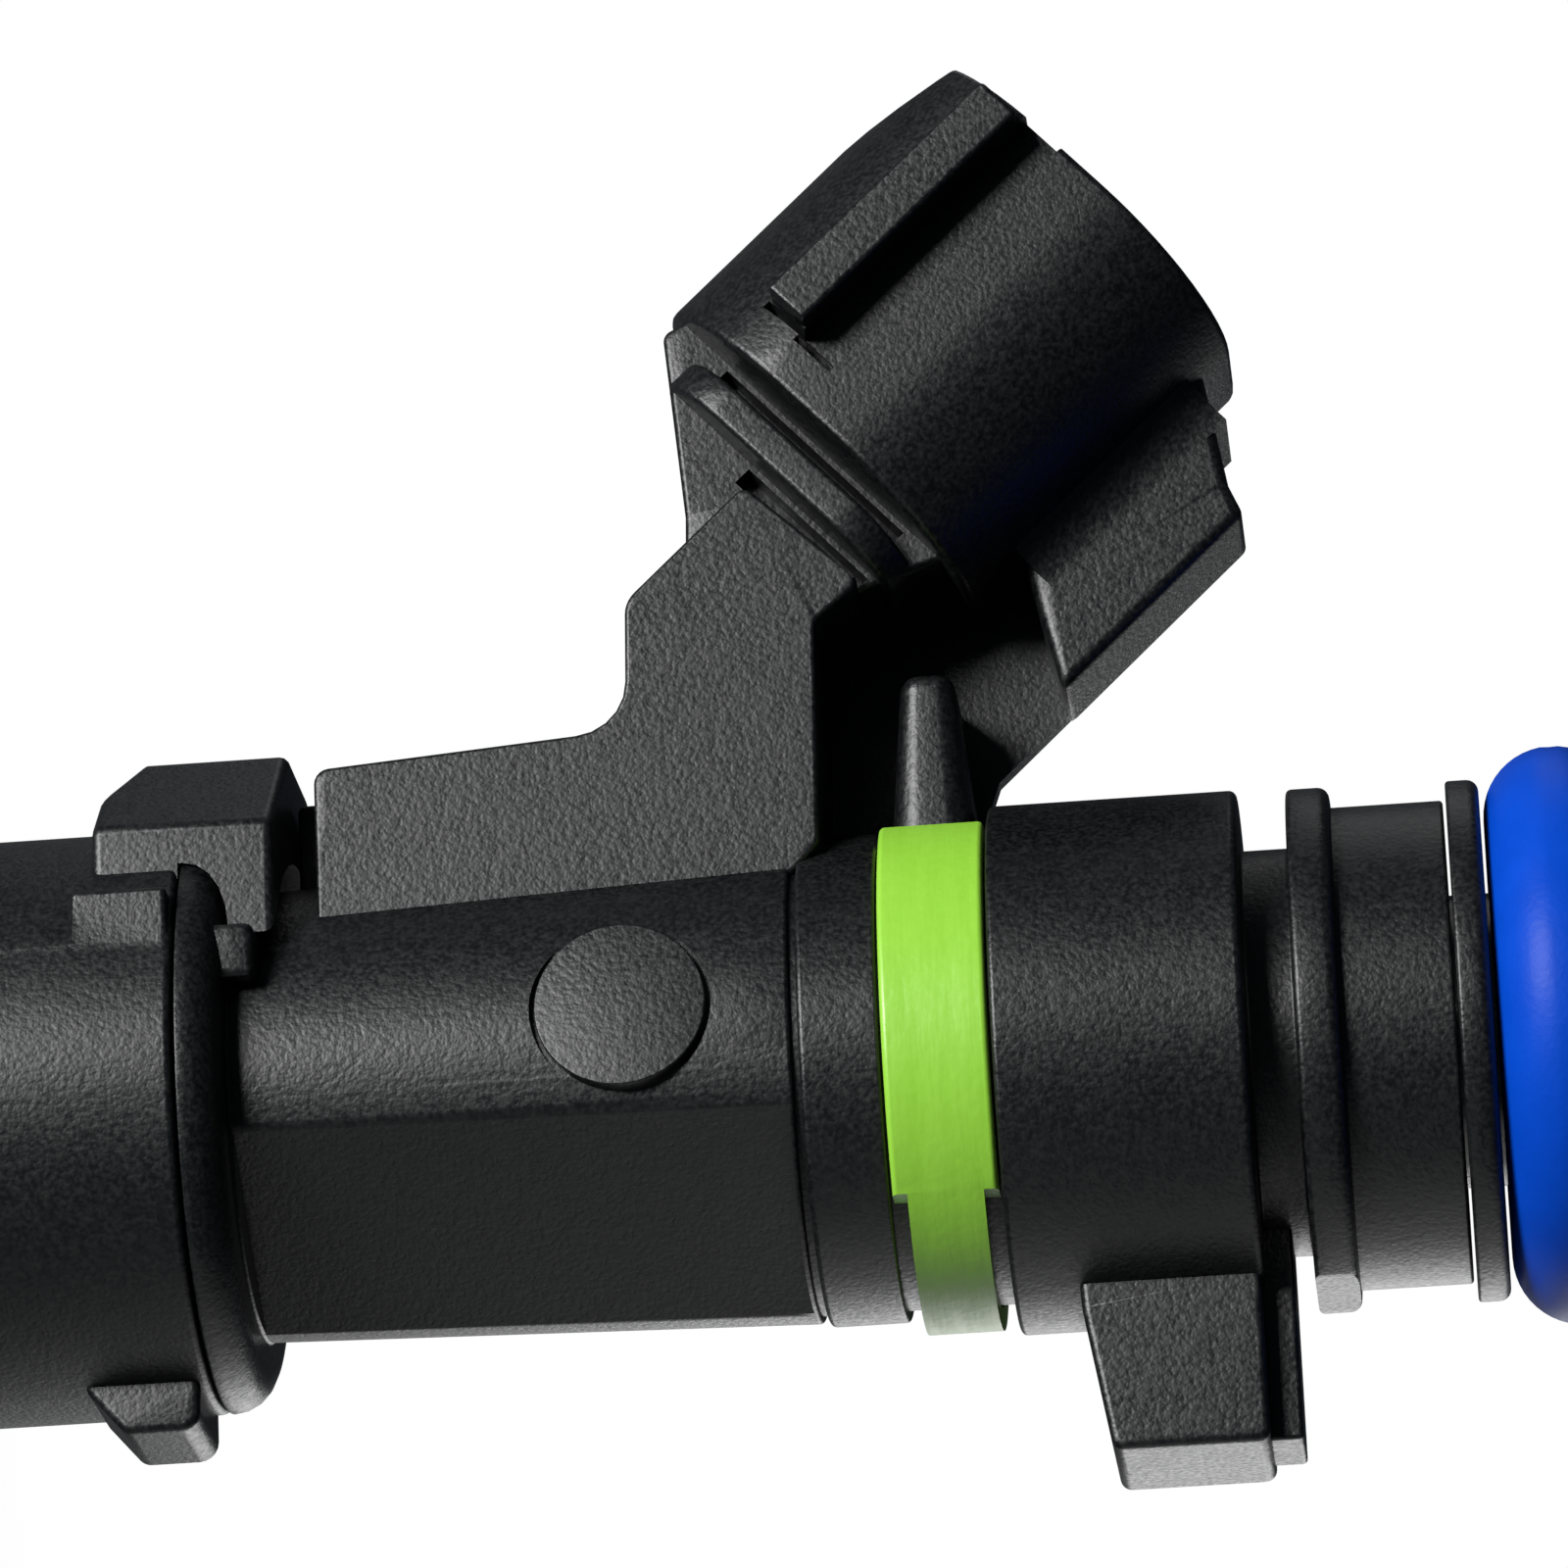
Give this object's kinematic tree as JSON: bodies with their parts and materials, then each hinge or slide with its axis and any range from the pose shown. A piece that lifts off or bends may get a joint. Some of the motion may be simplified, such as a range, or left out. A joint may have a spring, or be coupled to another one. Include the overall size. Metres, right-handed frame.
{
  "type": "fuel injector",
  "caption": "Port fuel injector with a moulded body, slanted plug shroud, colour band, O-ring at each end, push-on nozzle sleeve, and a sprung needle valve inside.",
  "frame": {"origin": "centre of the upper O-ring on the injector's axis", "axes": "+Z along the injector's axis towards the fuel inlet, -X towards the plug shroud, +X towards the index tab"},
  "size_m": [0.0361, 0.0148, 0.0688],
  "materials": {
    "black_nylon": "fine-grained glass-filled nylon",
    "green_plastic": "smooth moulded",
    "blue_rubber": "smooth moulded",
    "brown_rubber": "smooth moulded",
    "stainless_steel": "drawn and turned",
    "plated_iron": "plated",
    "brass": "pressed",
    "tinned_brass": "tin plated",
    "natural_nylon": "moulded",
    "copper_wire": "enamelled"
  },
  "bodies": {
    "injector": {"body_overmould": "black_nylon", "nozzle_sleeve": "black_nylon", "o_ring_backing_ring": "black_nylon", "tip_retainer": "black_nylon", "id_band": "green_plastic", "upper_o_ring": "blue_rubber", "lower_o_ring": "brown_rubber", "fuel_tube": "stainless_steel", "filter_rim": "brass", "filter_frame": "natural_nylon", "filter_screen": "stainless_steel", "adjusting_tube": "stainless_steel", "return_spring": "stainless_steel", "pole_core": "plated_iron", "valve_tube": "stainless_steel", "flux_cup": "plated_iron", "flux_washer": "plated_iron", "coil_bobbin": "natural_nylon", "coil_winding": "copper_wire", "terminal_a": "tinned_brass", "terminal_b": "tinned_brass", "valve_seat": "stainless_steel", "spray_plate": "stainless_steel", "nozzle_body": "stainless_steel"},
    "needle": {"armature": "plated_iron", "needle_tube": "stainless_steel", "valve_ball": "stainless_steel"}
  },
  "joints": [
    {"name": "needle_lift", "type": "slide", "parent": "injector", "child": "needle", "axis": [0, 0, 1], "range_m": [0, 0.00008], "stiffness_N_per_m": 400, "deforming": ["return_spring"]}
  ]
}
